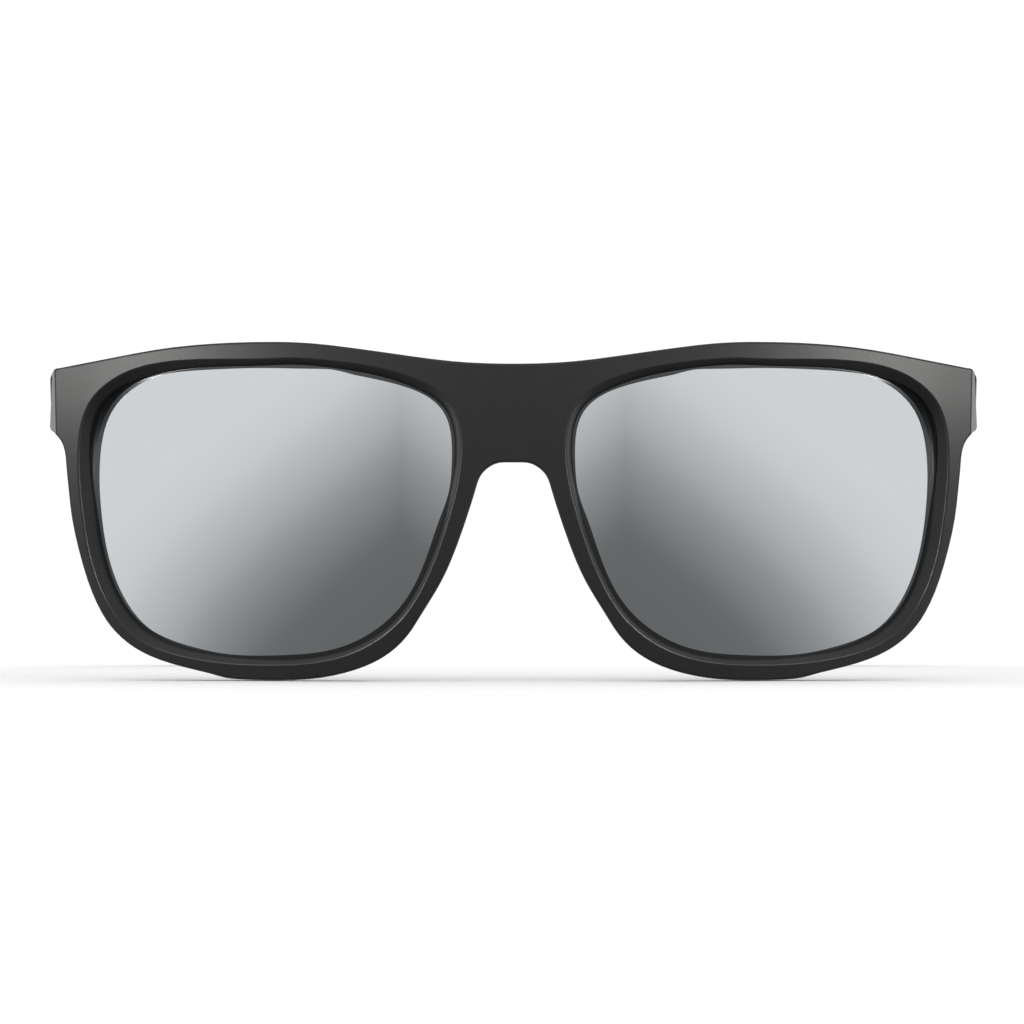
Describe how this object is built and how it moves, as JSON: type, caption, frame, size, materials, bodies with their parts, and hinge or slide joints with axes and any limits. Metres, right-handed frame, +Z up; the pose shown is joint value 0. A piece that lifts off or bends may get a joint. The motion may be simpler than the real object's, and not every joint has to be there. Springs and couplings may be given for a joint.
{
  "type": "sunglasses",
  "caption": "Wrap-front sunglasses with mirrored lenses, a matt moulded frame, folding spring-hinged temples and rubber nose pads and tips.",
  "frame": {"origin": "middle of the footprint, on the surface that the open glasses stand on with the rims and temple tips", "axes": "+Z up, the front looks along -Y, the temples run back along +Y, +X is the wearer's left"},
  "size_m": [0.145, 0.1518, 0.0524],
  "materials": {
    "frame": "fine satin moulded texture",
    "lens": "silver mirror coat over a tinted polycarbonate lens",
    "rubber": "matt",
    "hinge_steel": "fine machined",
    "spring_steel": "drawn wire"
  },
  "bodies": {
    "front": {"front_frame": "frame", "lens_left": "lens", "lens_right": "lens", "nose_pad_left": "rubber", "nose_pad_right": "rubber", "hinge_front_left": "hinge_steel", "hinge_front_right": "hinge_steel", "hinge_screw_left": "hinge_steel", "hinge_screw_right": "hinge_steel"},
    "hinge_left": {"hinge_slider_left": "hinge_steel", "spring_stop_left": "hinge_steel"},
    "temple_left": {"temple_arm_left": "frame", "temple_core_left": "spring_steel", "temple_tip_left": "rubber", "hinge_box_left": "hinge_steel", "hinge_spring_left": "spring_steel"},
    "hinge_right": {"hinge_slider_right": "hinge_steel", "spring_stop_right": "hinge_steel"},
    "temple_right": {"temple_arm_right": "frame", "temple_core_right": "spring_steel", "temple_tip_right": "rubber", "hinge_box_right": "hinge_steel", "hinge_spring_right": "spring_steel"}
  },
  "joints": [
    {"name": "fold_left", "type": "hinge", "parent": "front", "child": "hinge_left", "pos_m": [0.0679, -0.05207, 0.0434], "axis": [0, 0, 1], "range_deg": [0, 85]},
    {"name": "spring_left", "type": "slide", "parent": "hinge_left", "child": "temple_left", "axis": [0, 1, 0], "range_m": [0, 0.0012], "stiffness_N_per_m": 1000, "springref_m": -0.0005, "deforming": ["hinge_spring_left"]},
    {"name": "fold_right", "type": "hinge", "parent": "front", "child": "hinge_right", "pos_m": [-0.0679, -0.05207, 0.0434], "axis": [0, 0, -1], "range_deg": [0, 76]},
    {"name": "spring_right", "type": "slide", "parent": "hinge_right", "child": "temple_right", "axis": [0, 1, 0], "range_m": [0, 0.0012], "stiffness_N_per_m": 1000, "springref_m": -0.0005, "deforming": ["hinge_spring_right"]}
  ]
}
